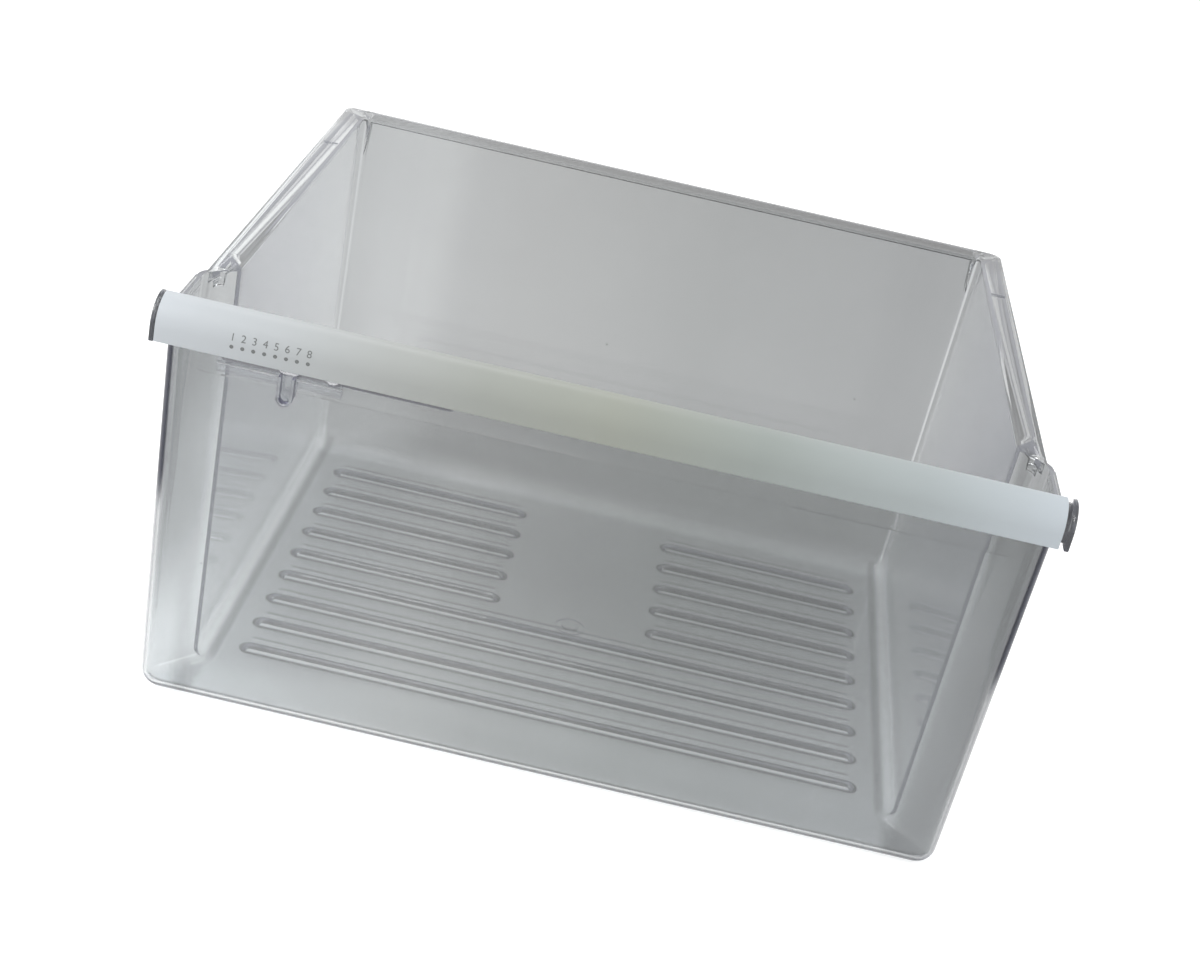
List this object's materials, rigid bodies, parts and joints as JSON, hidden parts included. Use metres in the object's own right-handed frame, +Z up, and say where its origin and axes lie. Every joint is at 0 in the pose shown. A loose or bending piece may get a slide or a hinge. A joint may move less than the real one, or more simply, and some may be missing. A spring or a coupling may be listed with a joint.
{
  "type": "crisper drawer",
  "caption": "Clear plastic crisper drawer for a refrigerator, with a ribbed floor, side flanges that hang on runners, a white handle trim and a sliding humidity vent.",
  "frame": {"origin": "On the underside of the floor, on the left-right centre plane, halfway between the front of the handle trim and the back of the rim.", "axes": "+X to the right as seen from the front, +Y from the front to the back, +Z up. The handle is at -Y."},
  "size_m": [0.4272, 0.3711, 0.223],
  "materials": {
    "clear_pan": "clear moulded polystyrene, faintly grey, glossy",
    "white_trim": "white, satin moulded plastic",
    "clear_slider": "clear moulded polystyrene, glossy"
  },
  "bodies": {
    "pan_body": {"pan": "clear_pan", "handle_trim": "white_trim"},
    "slider": {"humidity_slider": "clear_slider"}
  },
  "joints": [
    {"name": "humidity_slide", "type": "slide", "parent": "pan_body", "child": "slider", "axis": [1, 0, 0], "range_m": [-0.027, 0.0084]}
  ]
}
